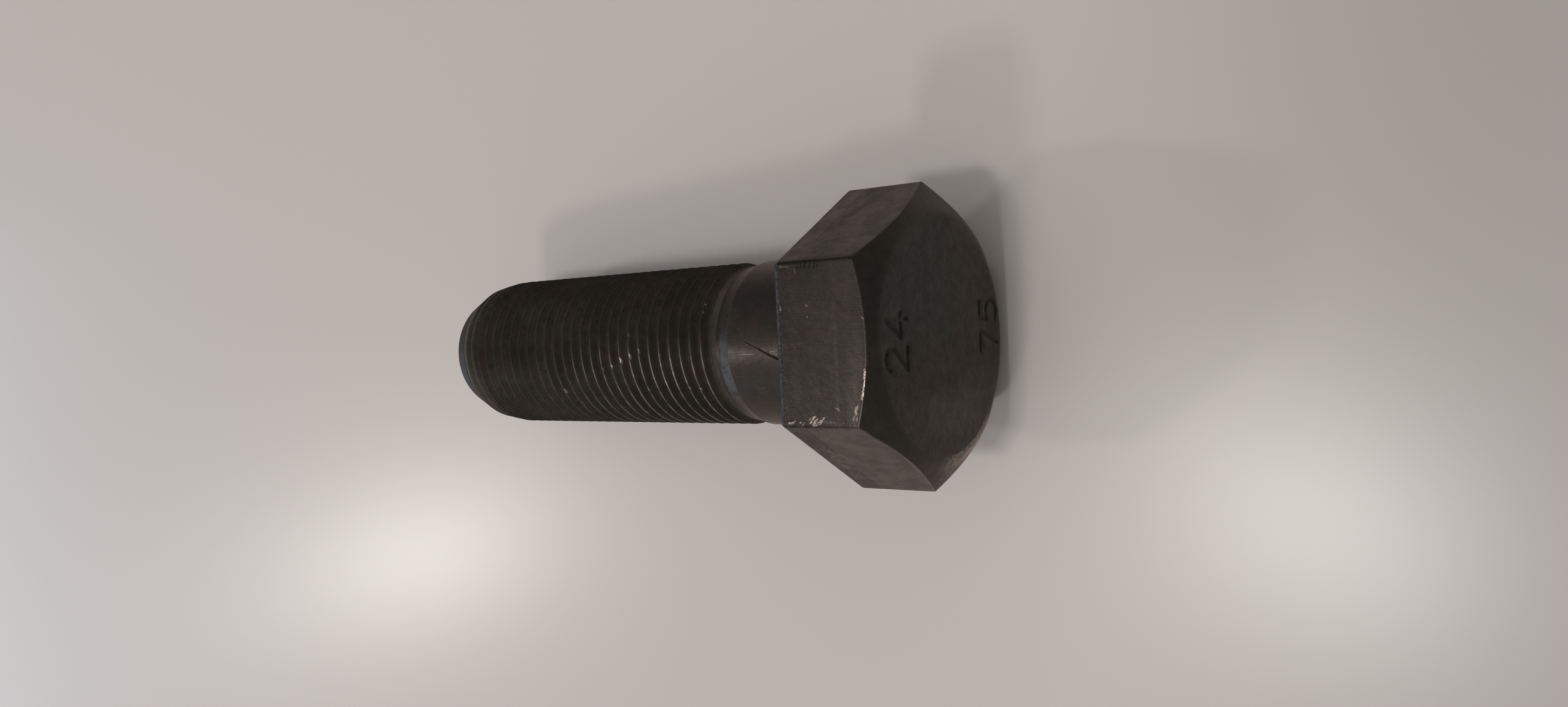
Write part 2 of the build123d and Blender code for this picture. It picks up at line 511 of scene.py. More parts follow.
# Nicks in the thread's crests: place along the axis, angle in degrees, size, brightness
THREAD_NICKS = [
    (-17.46, 60.4, 0.35, 0.3),
    (-17.51, 66.3, 0.3, 0.22),
    (-17.12, 128.2, 0.25, 0.3),
    (-19.06, 121.2, 0.45, 0.5),
    (-21.3, 119.6, 0.35, 0.4),
    (-29.37, 91.8, 0.45, 0.4),
    (-31.3, 95.0, 0.65, 0.5),
    (-31.46, 79.9, 0.4, 0.1),
    (-33.27, 97.9, 0.7, 0.7),
    (-35.16, 102.7, 0.5, 0.45),
    (-37.18, 104.4, 0.45, 0.25),
    (-47.37, 120.4, 0.65, 0.3),
    (-45.96, 126.2, 0.6, 0.2),
    (-45.09, 133.9, 0.4, 0.12),
]
NICK_DEPTH = 0.1


def crest_place(a, degrees):
    """A place on the thread's crests in the bolt's frame."""
    turn = math.radians(degrees)
    return Vector((a, CREST_RADIUS * math.cos(turn), CREST_RADIUS * math.sin(turn)))


def nicked(points):
    """The points pressed in where the thread's crests are nicked."""
    points = np.array(points)
    for a, degrees, size, _ in THREAD_NICKS:
        centre = np.array(crest_place(a, degrees))
        outward = centre * (0.0, 1.0, 1.0) / CREST_RADIUS
        near = np.clip(1 - (np.linalg.norm(points - centre, axis=1) / size) ** 2, 0, 1)
        points -= (NICK_DEPTH * near)[:, None] * outward
    return points


def dressed_bolt():
    """The whole bolt as one object, with its texture map and no materials yet."""
    builder = Builder()
    head(builder, shank(builder))
    mesh = bpy.data.meshes.new("bolt_dressed")
    mesh.from_pydata(in_row(nicked(builder.points)).tolist(), [], builder.faces)
    mesh.polygons.foreach_set("material_index", builder.finishes)
    mesh.polygons.foreach_set("use_smooth", [True] * len(builder.faces))
    layer = mesh.uv_layers.new(name="OFBake")
    places = np.array([place for corners in builder.places for place in corners], float) / MAP_SIDE
    layer.uv.foreach_set("vector", places.astype(np.float32).ravel())
    mesh.validate()
    mesh.update()
    found = bpy.data.objects.new("bolt_dressed", mesh)
    bpy.context.scene.collection.objects.link(found)
    return found


# Materials
# The numbers of a mix node's colour inputs and output
MIX_FIRST = 6
MIX_SECOND = 7
MIX_RESULT = 2


class Value:
    """What the nodes of a graph work out at each point: a number, or a vector or colour."""

    def __init__(self, graph, socket):
        self.graph = graph
        self.socket = socket

    def __add__(self, other):
        return self.graph.math("ADD", self, other)

    def __sub__(self, other):
        return self.graph.math("SUBTRACT", self, other)

    def __rsub__(self, other):
        return self.graph.math("SUBTRACT", other, self)

    def __mul__(self, other):
        return self.graph.math("MULTIPLY", self, other)

    def __abs__(self):
        return self.graph.math("ABSOLUTE", self)

    def step(self, low, high, to_low=0.0, to_high=1.0):
        """A smooth step from to_low where this is low to to_high where it is high."""
        inputs = {"Value": self, "From Min": low, "From Max": high, "To Min": to_low, "To Max": to_high}
        return self.graph.result("ShaderNodeMapRange", inputs, interpolation_type="SMOOTHSTEP")

    def band(self, middle, half_width, soft):
        """1 where this is within half_width of the middle, falling to 0 over soft."""
        return abs(self - middle).step(half_width, half_width + soft, 1.0, 0.0)

    def scaled(self, factor):
        """This vector or colour times a number."""
        return self.graph.result("ShaderNodeVectorMath", {0: self, "Scale": factor}, operation="SCALE")


def with_alpha(colour):
    """A colour as a node's input takes it."""
    return colour if isinstance(colour, Value) else (*colour, 1.0)


class Graph:
    """The nodes of a material or a world."""

    def __init__(self, owner):
        owner.use_nodes = True
        self.tree = owner.node_tree

    def fill(self, node, inputs):
        """Links a node's inputs to worked-out values, or sets them where they are the same all over."""
        for name, value in inputs.items():
            if isinstance(value, Value):
                self.tree.links.new(value.socket, node.inputs[name])
            else:
                node.inputs[name].default_value = value

    def node(self, kind, inputs, **settings):
        """A new node with its settings, and its inputs by their numbers or names."""
        found = self.tree.nodes.new(kind)
        for name, setting in settings.items():
            setattr(found, name, setting)
        self.fill(found, inputs)
        return found

    def result(self, kind, inputs, output=0, **settings):
        """An output of a new node, by its number or name."""
        return Value(self, self.node(kind, inputs, **settings).outputs[output])

    def math(self, operation, *values):
        return self.result("ShaderNodeMath", dict(enumerate(values)), operation=operation)

    def vector(self, operation, *values):
        output = "Value" if operation in ("DOT_PRODUCT", "LENGTH", "DISTANCE") else "Vector"
        return self.result("ShaderNodeVectorMath", dict(enumerate(values)), output, operation=operation)

    def most(self, *values):
        """The largest of the values."""
        found = values[0]
        for value in values[1:]:
            found = self.math("MAXIMUM", found, value)
        return found

    def mix(self, factor, first, second):
        """The first colour where factor is 0 and the second where it is 1."""
        inputs = {"Factor": factor, MIX_FIRST: with_alpha(first), MIX_SECOND: with_alpha(second)}
        return self.result("ShaderNodeMix", inputs, MIX_RESULT, data_type="RGBA")


# Bare, rubbed steel, and the warm tint of every highlight on the bolt
BARE = (0.5, 0.42, 0.38)
BARE_ROUGHNESS = 0.28
BARE_METAL = 0.9
HIGHLIGHT = (1.0, 0.86, 0.77, 1.0)
MICROMETRE = 0.000001


class Steel(Graph):
    """A finish of the bolt. Places and widths are in millimetres of its own frame, heights in micrometres."""

    def __init__(self, name):
        self.material = bpy.data.materials.new(name)
        super().__init__(self.material)
        inputs = {
            "Vector": self.result("ShaderNodeTexCoord", {}, "Object"),
            "Location": SEAT * MM,
            "Rotation": (0.0, -REST_TILT, 0.0),
            "Scale": (MM, MM, MM),
        }
        self.place = self.result("ShaderNodeMapping", inputs, vector_type="TEXTURE")
        split = self.node("ShaderNodeSeparateXYZ", {0: self.place})
        self.a, self.y, self.z = (Value(self, output) for output in split.outputs)

    def noise(self, scale, detail=2.0, roughness=0.5, place=None, output=0):
        inputs = {"Vector": place or self.place, "Scale": scale, "Detail": detail, "Roughness": roughness}
        return self.result("ShaderNodeTexNoise", inputs, output)

    def streaks(self, scales, detail, roughness):
        """Noise with its own scale along each axis of the bolt's frame."""
        return self.noise(1.0, detail, roughness, self.vector("MULTIPLY", self.place, scales))

    def specks(self, scale, share, size):
        """Scattered small dots: share of the cells hold one, size is its radius in cells."""
        cells = self.node("ShaderNodeTexVoronoi", {"Vector": self.place, "Scale": scale})
        dot = Value(self, cells.outputs["Distance"]).step(size * 0.5, size, 1.0, 0.0)
        pick = self.vector("DOT_PRODUCT", Value(self, cells.outputs["Color"]), (1.0, 0.0, 0.0))
        return dot * self.math("LESS_THAN", pick, share)

    def scratch(self, start, end, half_width, soft, place=None):
        """1 along the straight line between two points, falling to 0 over soft beside it."""
        run = Vector(end) - Vector(start)
        from_start = self.vector("SUBTRACT", place or self.place, start)
        share = self.vector("DOT_PRODUCT", from_start, run / run.length_squared)
        share = self.result("ShaderNodeClamp", {"Value": share})
        nearest = self.result("ShaderNodeVectorMath", {0: run, "Scale": share}, operation="SCALE")
        away = self.vector("DISTANCE", from_start, nearest)
        return away.step(half_width, half_width + soft, 1.0, 0.0)

    def strokes(self, marks, ragged):
        """Short strokes on the flat that faces up, each as strong as its mark says."""
        shift = self.vector("SUBTRACT", self.noise(3.5, output="Color"), (0.5, 0.5, 0.5)).scaled(ragged)
        place = self.vector("ADD", self.place, self.vector("MULTIPLY", shift, (1.0, 1.0, 0.0)))
        top = ACROSS_FLATS / 2
        found = []
        for a, y, end_a, end_y, half_width, strength in marks:
            line = self.scratch((a, y, top), (end_a, end_y, top), half_width * 0.7, 0.12, place)
            found.append(line * strength)
        return self.most(*found) * self.noise(5.0, 2.0, 0.6).step(0.36, 0.56, 1.0 - 1.5 * ragged, 1.0)

    def radial(self):
        """Distance from the bolt's axis."""
        return self.vector("LENGTH", self.vector("MULTIPLY", self.place, (0.0, 1.0, 1.0)))

    def across(self):
        """How far the point reaches from the axis towards the nearest of the hexagon's six sides."""
        half, tall = self.z * 0.5, self.y * math.sqrt(0.75)
        return self.most(*(abs(reach) for reach in (self.z, half + tall, half - tall)))

    def oxide(self, dark, light, tint, tint_share=0.5):
        """Blackened steel: cloudy between two colours, with patches of a third, blotches and a fine grain."""
        clouds = self.noise(0.17, 4.0, 0.6).step(0.35, 0.65)
        elsewhere = self.vector("ADD", self.place, (31.0, 7.0, 3.0))
        patches = self.noise(0.31, 3.0, 0.6, elsewhere).step(0.5, 0.68)
        colour = self.mix(patches * tint_share, self.mix(clouds, dark, light), tint)
        blotches = self.noise(0.9, 4.0, 0.7).step(0.3, 0.7, 0.86, 1.15)
        grain = self.noise(6.0, 3.0, 0.75).step(0.3, 0.7, 0.84, 1.18)
        return colour.scaled(blotches).scaled(grain)

    def uneven(self, ripple, grain):
        """Height of a forged or plated surface, from its slow ripple and its fine grain."""
        return self.noise(0.7, 3.0, 0.6) * ripple + self.noise(4.0, 3.0, 0.7) * grain

    def worn_edges(self):
        """Bright wear along the head's crease and its six corners: broken above, and below an even thin line
        that is a painted highlight.
        """
        radial = self.radial()
        rise = (radial - FACE_RADIUS) * math.tan(CHAMFER)
        from_crease = abs(self.a + rise - HEAD_HEIGHT) + (ACROSS_FLATS / 2 - self.across())
        top = self.z.step(16.0, 17.0)
        broken = top * self.noise(1.6, 3.0, 0.65).step(0.34, 0.64, 0.25, 1.0) * 0.07
        even_highlight = self.y.step(-11.0, -16.0) * self.noise(0.5).step(0.3, 0.6, 0.4, 1.0) * 0.3
        crease_wear_and_highlight = from_crease.step(0.2, 0.05) * self.most(broken, even_highlight)
        away_from_cuts = 1.0 - top * self.y.step(7.0, 8.0)
        chips = radial.step(20.35, 20.65) * self.noise(1.4, 4.0, 0.7).step(0.56, 0.66) * away_from_cuts * 0.12
        return self.most(crease_wear_and_highlight, chips)

    def finish(self, colour, bright, height, roughness, gloss=0.36, metal=0.4):
        """Sets the shader: dull oxide where bright is 0, and bare steel where it is 1."""
        bump = {"Strength": 1.0, "Distance": MICROMETRE, "Height": height}
        shader = {
            "Base Color": self.mix(bright, colour, BARE),
            "Roughness": bright.step(0.0, 1.0, roughness, BARE_ROUGHNESS),
            "Metallic": bright.step(0.0, 1.0, metal, BARE_METAL),
            "Specular IOR Level": gloss,
            "Specular Tint": HIGHLIGHT,
            "Normal": self.result("ShaderNodeBump", bump),
        }
        self.fill(self.tree.nodes["Principled BSDF"], shader)
        return self.material


def thread_steel():
    """Finish of the thread and of the smooth cone at its end."""
    steel = Steel("thread_steel")
    a, y, z = steel.a, steel.y, steel.z
    radial = steel.radial()
    near_head = a.step(-58.0, -26.0)
    dull_and_shaded = steel.most(y.step(-1.0, 4.0), 1.0 - near_head)
    # The crests carry a painted highlight in patches below and near the head, and their nicks are bright
    crest = radial.step(CREST_RADIUS - 0.045, CREST_RADIUS - 0.015)
    patches = steel.noise(0.3, 2.0, 0.5).step(0.4, 0.6, 0.15, 0.9)
    patches += steel.noise(0.9, 3.0, 0.7).step(0.52, 0.68, 0.0, 0.9)
    # Painted highlight: the crests' lower side near the head is mixed towards bare steel in patches
    light_patches = crest * y.step(1.5, -3.5) * near_head * patches * 0.24
    nicks = []
    for at, degrees, size, bright in THREAD_NICKS:
        start = crest_place(at - 0.5 * size, degrees - 2.5 * size)
        end = crest_place(at + 0.5 * size, degrees + 3.5 * size)
        nicks.append(steel.scratch(start, end, 0.2 * size, 0.35 * size) * bright)
    nicks = steel.most(*nicks) * steel.noise(4.0, 2.0, 0.6).step(0.4, 0.55, 0.15, 1.0)
    # Painted light and shade: the oxide is lighter deep in the grooves to even out their shade, lighter
    # towards +Y and far from the head, and darker on the crests above and far from the head
    painted_groove_light = radial.step(10.85, 11.75, 1.5, 0.95)
    crest_shade = 1.0 - radial.step(CREST_RADIUS - 0.16, CREST_RADIUS - 0.03) * dull_and_shaded * 0.48
    far = a.step(-25.0, -60.0)
    light = y.step(-1.0, 9.0, 1.1, 2.0) + far * y.step(0.0, -5.0, 0.25, 0.85)
    colour = steel.oxide((0.0185, 0.0168, 0.0138), (0.025, 0.0222, 0.0186), (0.031, 0.0195, 0.0195))
    colour = colour.scaled(painted_groove_light * crest_shade * light)
    # The smooth cone at the end is dull above and darker all over as painted shade, and below it has a pale
    # bluish painted reflection
    cone = a.step(POINT_TOP - 0.6, POINT_TOP - 1.5)
    painted_bluish_reflection = cone * y.band(-2.6, 2.2, 1.2) * z.step(0.0, 2.0)
    painted_bluish_reflection *= steel.noise(1.1, 3.0, 0.6).step(0.3, 0.55, 0.45, 1.0)
    colour = colour.scaled(cone.step(0.0, 1.0, 1.0, 0.4))
    colour = steel.mix(painted_bluish_reflection, colour, (0.0125, 0.0134, 0.015))
    gloss = steel.most(dull_and_shaded, cone).step(0.0, 1.0, 0.13, 0.025) + painted_bluish_reflection * 0.045
    return steel.finish(colour, steel.most(nicks, light_patches), steel.uneven(30.0, 14.0), 0.5, gloss, 0.12)


# The long gouge in the plain shank, in straight runs: start, end, half width, softness
GOUGE = [
    ((-9.6, 0.55, 11.92), (-7.2, -0.55, 11.92), 0.01, 0.12),
    ((-7.2, -0.55, 11.92), (-5.7, -1.3, 11.86), 0.04, 0.12),
    ((-5.7, -1.3, 11.86), (-4.2, -1.98, 11.76), 0.1, 0.14),
]


def shank_steel():
    """Finish of the plain shank, the run-out cone, the neck and the flat tip."""
    steel = Steel("shank_steel")
    a, y, z = steel.a, steel.y, steel.z
    lines = steel.streaks((0.12, 7.0, 7.0), 3.0, 0.6)
    colour = steel.oxide((0.0125, 0.0108, 0.0088), (0.0185, 0.0155, 0.0128), (0.025, 0.0155, 0.0165), 0.6)
    # Painted shade: the shank's oxide darkens towards +Y, its upper side
    colour = colour.scaled(lines.step(0.3, 0.7, 0.85, 1.15)).scaled(y.step(0.5, 6.0, 1.0, 0.78))
    # Bright hairlines and scuffs along the top of the shank, and flecks beside them
    facing = z.step(0.0, 1.0)
    hairlines = steel.streaks((0.22, 10.0, 10.0), 2.0, 0.6).step(0.56, 0.64) * y.band(-1.15, 0.25, 0.3)
    hairlines *= a.band(-10.4, 1.7, 0.8) * facing
    scuffs = steel.streaks((1.2, 8.0, 8.0), 2.0, 0.6).step(0.52, 0.62) * y.band(-1.25, 0.25, 0.3)
    scuffs *= a.band(-4.7, 0.4, 0.4) * facing
    flecks = steel.noise(2.8, 2.0, 0.6).step(0.54, 0.64) * a.band(-8.2, 0.9, 0.6)
    flecks *= y.band(-6.1, 0.35, 0.4) * facing
    bright = steel.most(hairlines * 0.2, scuffs * 0.24, flecks * 0.05, steel.specks(1.1, 0.3, 0.07) * 0.25)
    gouge = steel.most(*(steel.scratch(*run) for run in GOUGE))
    # The run-out cone and the neck are dull above and darker there, the neck a little darker all round, both
    # as painted shade, and the cone has glossy patches below
    runout = a.step(-PLAIN_LENGTH + 0.1, -PLAIN_LENGTH - 0.3) * a.step(FIRST_CREST - 0.4, FIRST_CREST)
    cone = a.step(CONE_END, CONE_END + 0.3) * runout
    neck = runout - cone
    dull_and_shaded_top = steel.most(runout * y.step(-0.6, 1.0) * 0.6, neck * 0.35)
    mottle = steel.noise(0.9, 4.0, 0.75).step(0.36, 0.64)
    colour = colour.scaled(1.0 - dull_and_shaded_top * 0.25)
    colour = steel.mix(gouge, colour, (0.0075, 0.004, 0.004))
    matt = steel.most(gouge, dull_and_shaded_top * 0.85, cone * (1.0 - mottle) * 0.7)
    gloss = matt.step(0.0, 1.0, 0.36, 0.03)
    height = steel.uneven(45.0, 7.0) + lines * 3.0 - gouge * 20.0
    return steel.finish(colour, bright * (1.0 - gouge), height, 0.34, gloss, 0.4 - gouge * 0.4)


# Marks on the flat that faces up: start and end along and across, half width, strength
TOP_CHIPS = [
    (5.1, -9.8, 5.9, -9.0, 0.08, 0.6),
    (5.5, -10.1, 6.2, -9.4, 0.09, 0.6),
    (6.0, -10.1, 6.7, -9.5, 0.06, 0.5),
    (6.5, -10.0, 7.3, -9.1, 0.07, 0.55),
    (5.0, -9.4, 5.2, -9.2, 0.05, 0.4),
    (5.6, -10.3, 5.9, -10.1, 0.05, 0.5),
    (1.8, -10.0, 2.0, -9.9, 0.06, 0.5),
    (2.2, -9.9, 2.7, -9.7, 0.06, 0.45),
    (3.5, -9.9, 3.7, -9.8, 0.05, 0.5),
    (4.0, -10.1, 4.2, -9.8, 0.04, 0.35),
    (7.5, -9.7, 8.7, -9.8, 0.08, 0.12),
    (9.0, -8.0, 9.5, -8.2, 0.05, 0.3),
    (13.5, -3.3, 13.4, -4.7, 0.1, 0.7),
    (13.4, -4.7, 12.9, -6.9, 0.1, 0.7),
    (12.2, -7.8, 12.0, -8.1, 0.16, 0.6),
    (11.95, -8.3, 11.95, -8.7, 0.15, 0.5),
    (11.7, -9.0, 11.6, -9.4, 0.06, 0.3),
    (12.15, -9.1, 12.0, -9.5, 0.06, 0.25),
    (5.3, 4.8, 5.4, 4.7, 0.03, 0.3),
    (5.3, 3.4, 5.4, 3.3, 0.04, 0.35),
    (13.45, 3.1, 13.55, 2.9, 0.05, 0.4),
    (1.25, 4.8, 1.3, 4.4, 0.06, 0.3),
    (3.75, 9.5, 3.85, 9.2, 0.03, 0.2),
    (1.4, 9.9, 2.7, 9.8, 0.03, 0.15),
]
CHIPS_RAGGED = 0.55
TOP_CUTS = [
    (4.2, 9.7, 4.6, 10.5, 0.07, 0.6),
    (4.7, 9.8, 5.1, 10.6, 0.09, 0.75),
    (5.3, 9.7, 5.6, 10.4, 0.09, 0.8),
    (6.0, 9.6, 6.2, 10.4, 0.08, 0.7),
    (6.7, 9.6, 7.0, 10.4, 0.08, 0.75),
    (7.3, 9.7, 7.6, 10.3, 0.08, 0.7),
]
CUTS_RAGGED = 0.2


def flats_steel():
    """Finish of the head's six flats and of its underside."""
    steel = Steel("head_flats_steel")
    a, y, z = steel.a, steel.y, steel.z
    top = z.step(17.4, 17.8)
    sides = 1.0 - top
    above, below = sides * y.step(0.0, 1.0), sides * y.step(0.0, -1.0)
    # Fine combing along the flats, stronger near both their ends
    combed = steel.streaks((0.25, 7.0, 7.0), 4.0, 0.7)
    near_ends = steel.most(a.band(1.8, 1.0, 1.4), a.band(11.9, 1.3, 1.6))
    combing = (combed - 0.5) * (near_ends * 1.2 + 0.55)
    # Paler bands across the flat that faces up
    wobble = (steel.noise(0.5) - 0.5) * 0.6
    along = a + wobble
    bands = steel.most(
        along.band(3.2, 0.2, 0.7) * 0.25,
        along.band(9.4, 0.05, 0.4) * 0.4,
        a.band(12.0, 0.7, 1.0) * y.step(1.0, -3.0) * 0.5,
    )
    bands *= top * y.step(9.0, -2.0, 0.35, 1.0)
    # The forging die's line round the sides, the tones beside it, clouds, the top flat darker towards the
    # bearing end, painted shade in the small cuts, and a painted shadow along the corner between the top flat
    # and the flat on its +Y side
    nearly = a + wobble * 0.8
    die_line = nearly.band(4.1, 0.05, 0.35) * sides * a.step(1.0, 1.3)
    beyond_line = above * nearly.step(3.9, 4.3) * a.step(10.0, 4.5)
    below_line = nearly.step(5.2, 3.2) * below
    cloudy = sides * steel.noise(0.33, 4.0, 0.65).step(0.35, 0.65)
    cuts = steel.strokes(TOP_CUTS, CUTS_RAGGED)
    painted_corner_shadow = y.step(10.0, 10.35) * z.step(16.9, 17.4)
    tone_and_shade = sides.step(0.0, 1.0, 0.96, 1.18) * below.step(0.0, 1.0, 1.0, 1.2)
    for shade in (
        die_line * 0.2,
        beyond_line * 0.3,
        below_line * 0.36,
        cloudy * 0.16,
        top * a.step(12.0, 2.0) * 0.28,
        steel.most(cuts * 0.7, painted_corner_shadow * 0.4),
    ):
        tone_and_shade *= 1.0 - shade
    # The rounding of the bearing edge is worn and speckled, and its lighter bluish colour is a painted
    # reflection
    speckle = steel.noise(2.6, 3.0, 0.75)
    edge = ACROSS_FLATS / 2 - BEARING_ROUND
    rounding = (a + speckle * 0.7).step(1.6, 1.4) * steel.across().step(edge - 0.3, edge + 0.2)
    worn_round_and_reflection = steel.mix(speckle.step(0.38, 0.62), (0.014, 0.014, 0.014), (0.046, 0.049, 0.05))
    colour = steel.oxide((0.0182, 0.0161, 0.0139), (0.026, 0.0228, 0.02), (0.036, 0.0255, 0.0243), 0.6)
    colour = colour.scaled(combing + 1.0).scaled(bands + 1.0).scaled(tone_and_shade)
    colour = steel.mix(rounding * 0.95, colour, worn_round_and_reflection)
    smudge = steel.noise(1.3, 4.0, 0.75).step(0.48, 0.62) * a.band(3.2, 0.6, 1.2) * y.band(-16.0, 1.4, 2.2)
    fine_scratches = steel.streaks((1.1, 4.0, 9.0), 3.0, 0.6).step(0.62, 0.7)
    fine_scratches *= steel.noise(0.25).step(0.45, 0.6)
    bright = steel.most(
        steel.specks(0.8, 0.3, 0.05) * 0.12,
        steel.scratch((5.0, 15.9, 8.4), (8.0, 16.5, 7.4), 0.01, 0.1) * 0.08,
        steel.scratch((8.0, 16.5, 7.4), (10.6, 16.5, 7.4), 0.01, 0.1) * 0.1,
        smudge * z.step(2.0, 4.0) * 0.15,
        fine_scratches * 0.07,
        steel.strokes(TOP_CHIPS, CHIPS_RAGGED),
        rounding * below * speckle.step(0.4, 0.6) * 0.1,
        steel.worn_edges(),
    )
    height = steel.uneven(40.0, 10.0) + combed * 5.0 + rounding * speckle * 55.0
    height = height - die_line * 18.0 - cuts * 60.0
    gloss = rounding.step(0.0, 1.0, 0.36, 0.05) * steel.math("POWER", tone_and_shade, 1.5)
    return steel.finish(colour, bright, height, cloudy.step(0.0, 1.0, 0.33, 0.42), gloss)


def chamfer_steel():
    """Finish of the head's chamfered corners."""
    steel = Steel("head_chamfer_steel")
    colour = steel.oxide((0.0262, 0.0246, 0.021), (0.0325, 0.0303, 0.026), (0.036, 0.0285, 0.0262), 0.35)
    cloudy = steel.noise(0.4, 4.0, 0.65).step(0.35, 0.65)
    # Low on the chamfer near the face's rim, worn patches with a painted highlight
    low = steel.y.step(-10.5, -13.5) * steel.z.step(3.0, -3.0) * steel.radial().step(18.6, 17.2, 0.25, 1.0)
    worn_and_highlit = low * steel.noise(1.3, 4.0, 0.75).step(0.4, 0.6, 0.2, 1.0) * 0.45
    bright = steel.most(steel.worn_edges(), worn_and_highlit, steel.specks(0.6, 0.25, 0.05) * 0.2)
    height = steel.uneven(50.0, 12.0) + cloudy * 6.0
    return steel.finish(colour, bright, height, 0.36, cloudy.step(0.0, 1.0, 0.32, 0.39))


# Scratches in the face: start and end across and up the face, strength
FACE_SCRATCHES = [
    (8.7, 10.0, 7.1, 12.1, 0.05),
    (8.2, 9.7, 7.4, 11.3, 0.04),
    (7.9, -0.7, 7.2, -4.3, 0.05),
    (10.5, -8.1, 8.6, -9.5, 0.05),
    (15.4, 5.3, 16.2, 2.0, 0.06),
    (-7.0, -9.5, -8.6, -8.4, 0.05),
    (-2.5, 3.8, -2.9, 2.6, 0.05),
]


def face_steel():
    """Finish of the head's round face and of the numbers in it."""
    steel = Steel("head_face_steel")
    y, z, radial = steel.y, steel.z, steel.radial()
    # Large patches with ragged borders: cool, olive and pale ones, a rubbed light one and a dark one
    wander = (steel.noise(0.25, 3.0, 0.6) - 0.5) * 14.0
    across = y + wander
    ragged = steel.noise(0.7, 4.0, 0.7).step(0.36, 0.6, 0.35, 1.0)
    cool = across.step(-3.0, 2.0) * (z + wander).step(-6.0, -1.0) * 0.75
    olive = across.step(-3.0, 3.0) * z.step(-2.0, -6.0) * 0.6
    low = across.step(-4.0, -8.0) * 0.5
    light_patches = y.band(-10.2, 1.0, 3.0) * z.band(-2.5, 5.0, 4.0) * ragged
    hollow = y.band(-6.2, 0.6, 2.2) * z.band(1.0, 2.5, 3.5) * 0.35
    colour = steel.oxide((0.0225, 0.0215, 0.0182), (0.0315, 0.0298, 0.0252), (0.036, 0.028, 0.0255), 0.6)
    for patch, tint in (
        (cool, (0.0215, 0.0285, 0.0262)),
        (olive, (0.034, 0.0318, 0.0262)),
        (low, (0.036, 0.0338, 0.0295)),
        (light_patches * 0.75, (0.053, 0.05, 0.0445)),
        (hollow, (0.026, 0.0195, 0.0175)),
    ):
        colour = steel.mix(patch, colour, tint)
    cloudy = steel.noise(0.55, 5.0, 0.75).step(0.34, 0.66)
    colour = colour.scaled(cloudy.step(0.0, 1.0, 0.8, 1.22))
    pressed = steel.a.step(HEAD_HEIGHT - 0.04, HEAD_HEIGHT - 0.22)
    colour = steel.mix(pressed * 0.55, colour, (0.015, 0.0095, 0.0085))
    # Bright wear: the rim, with a painted highlight mostly at its low corner, a thin line inside it above,
    # and scratches
    low_corner = y.step(-10.0, -13.5) * z.step(6.0, -2.0)
    rim = radial.step(15.7, 16.25) * steel.noise(1.4, 4.0, 0.7).step(0.38, 0.6, 0.2, 1.0)
    rim *= low_corner.step(0.0, 1.0, 0.05, 0.35)
    line = radial.band(16.1, 0.08, 0.2) * z.step(3.0, 6.0) * y.step(-2.0, -5.0) * ragged * 0.22
    marks = []
    for start_y, start_z, end_y, end_z, strength in FACE_SCRATCHES:
        start, end = (HEAD_HEIGHT, start_y, start_z), (HEAD_HEIGHT, end_y, end_z)
        marks.append(steel.scratch(start, end, 0.02, 0.12) * strength)
    bright = steel.most(line, rim, *marks, steel.specks(0.8, 0.3, 0.05) * 0.12)
    height = steel.uneven(70.0, 12.0) + cloudy * 22.0
    gloss = cloudy.step(0.0, 1.0, 0.31, 0.41) + light_patches * 0.2 + low * 0.08 - hollow * 0.2
    return steel.finish(colour, bright, height, 0.4, gloss)


bolt = dressed_bolt()
for material in (shank_steel(), thread_steel(), flats_steel(), chamfer_steel(), face_steel()):
    bolt.data.materials.append(material)

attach(bolt, "root")
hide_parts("bolt")

# Floor, in metres
FLOOR_REACH = 3.0
FLOOR_NEAR = (0.47, 0.444, 0.428)
FLOOR_FAR = (0.2, 0.19, 0.18)


def floor_paint():
    """The table's finish: even round the bolt, darker further off, and a little darker beyond the head as a
    painted shadow.
    """
    material = bpy.data.materials.new("floor")
    graph = Graph(material)
    place = graph.result("ShaderNodeTexCoord", {}, "Object")
    far = graph.vector("LENGTH", place).step(0.3, 1.3)
    painted_shadow_beyond_head = graph.result("ShaderNodeSeparateXYZ", {0: place}).step(0.045, 0.11, 1.0, 0.76)
    colour = graph.mix(far, FLOOR_NEAR, FLOOR_FAR).scaled(painted_shadow_beyond_head)
    shader = {"Base Color": colour, "Roughness": 0.27, "Specular IOR Level": 0.38}
    graph.fill(graph.tree.nodes["Principled BSDF"], shader)
    return material


floor_mesh = bpy.data.meshes.new("floor")
corners = [(x * FLOOR_REACH, y * FLOOR_REACH, 0) for x, y in ((-1, -1), (1, -1), (1, 1), (-1, 1))]
floor_mesh.from_pydata(corners, [], [(0, 1, 2, 3)])
floor_mesh.materials.append(floor_paint())
floor = bpy.data.objects.new("floor", floor_mesh)
bpy.context.scene.collection.objects.link(floor)

# Light
WARM = (1.0, 0.965, 0.93)
BLUISH = (0.55, 0.74, 1.0)
LIT_PLACE = Vector((0, 0, 0.015))
# The world is brightest on this side: how far a direction turns to it, from and to, and its strengths there
BRIGHT_SIDE = (-0.62, -0.55, 0.56)
WORLD_SHARES = (-0.6, 0.9)
WORLD_STRENGTHS = (0.12, 0.75)


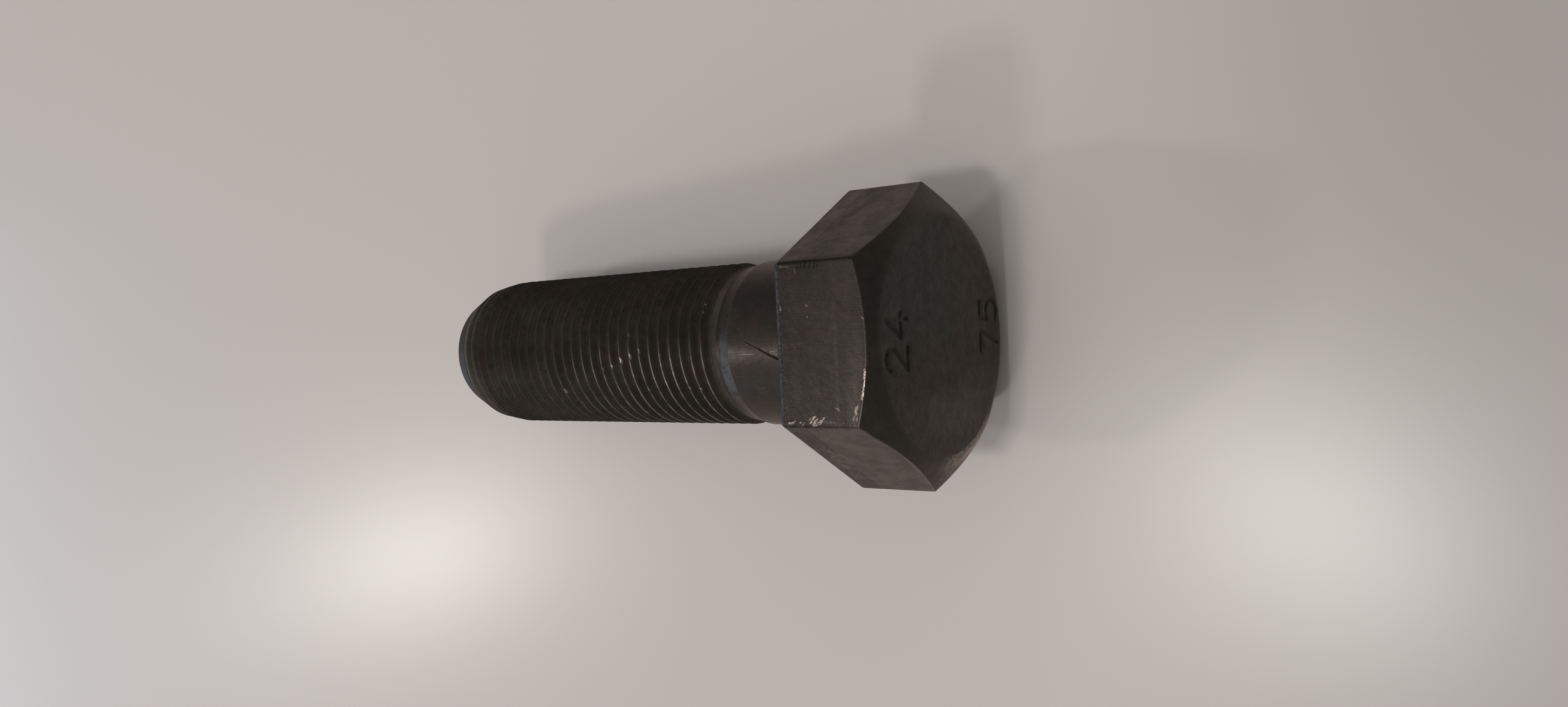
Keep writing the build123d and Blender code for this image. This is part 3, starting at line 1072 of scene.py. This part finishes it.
def softbox(name, place, size, power, colour):
    """A rectangular area lamp, placed in the row frame and turned to the bolt; size is width and height."""
    lamp = bpy.data.lights.new(name, "AREA")
    lamp.shape = "RECTANGLE"
    lamp.size, lamp.size_y = size
    lamp.energy = power
    lamp.color = colour
    found = bpy.data.objects.new(name, lamp)
    found.location = place
    found.rotation_mode = "QUATERNION"
    found.rotation_quaternion = (Vector(place) - LIT_PLACE).to_track_quat("Z", "Y")
    bpy.context.scene.collection.objects.link(found)


def studio_walls():
    """Plain light from all round, stronger from the far left and weaker from behind the camera."""
    world = bpy.data.worlds.new("studio")
    graph = Graph(world)
    direction = graph.result("ShaderNodeTexCoord", {}, "Generated")
    ramp = {
        "Value": graph.vector("DOT_PRODUCT", direction, BRIGHT_SIDE),
        "From Min": WORLD_SHARES[0],
        "From Max": WORLD_SHARES[1],
        "To Min": WORLD_STRENGTHS[0],
        "To Max": WORLD_STRENGTHS[1],
    }
    light = {"Color": (1.0, 0.96, 0.92, 1.0), "Strength": graph.result("ShaderNodeMapRange", ramp)}
    graph.fill(graph.tree.nodes["Background"], light)
    return world


softbox("far_softbox", (-2.97, -0.7, 2.6), (0.24, 0.4), 17.3, WARM)
softbox("overhead_softbox", (-0.25, -0.485, 2.64), (0.5, 0.22), 18.5, WARM)
softbox("side_softbox", (-0.1, -0.58, 0.69), (0.1, 0.08), 1.3, WARM)
softbox("window_softbox", (-1.34, -0.36, 0.24), (1.1, 0.4), 3.6, BLUISH)
bpy.context.scene.world = studio_walls()
bpy.context.scene.view_settings.view_transform = "Standard"

# Camera, at the photograph's place, with its three directions in the bolt's own frame
EYE = (90.738, 2.782, 138.375)
RIGHT = (0.80321, -0.04768, -0.59379)
DOWN = (-0.02308, -0.99853, 0.04897)
VIEW = (-0.59525, -0.02563, -0.80313)
camera_data = bpy.data.cameras.new("camera")
camera_data.sensor_width = 36.0
camera_data.lens = 27.17
camera_data.clip_start = 0.01
camera_data.clip_end = 20.0
camera = bpy.data.objects.new("camera", camera_data)
bpy.context.scene.collection.objects.link(camera)
right, down, view = (Vector(np.array(direction) @ BOLT_TO_ROW) for direction in (RIGHT, DOWN, VIEW))
camera.rotation_mode = "QUATERNION"
camera.rotation_quaternion = Matrix([right, -down, -view]).transposed().to_quaternion()
camera.location = in_row([EYE])[0]
bpy.context.scene.camera = camera
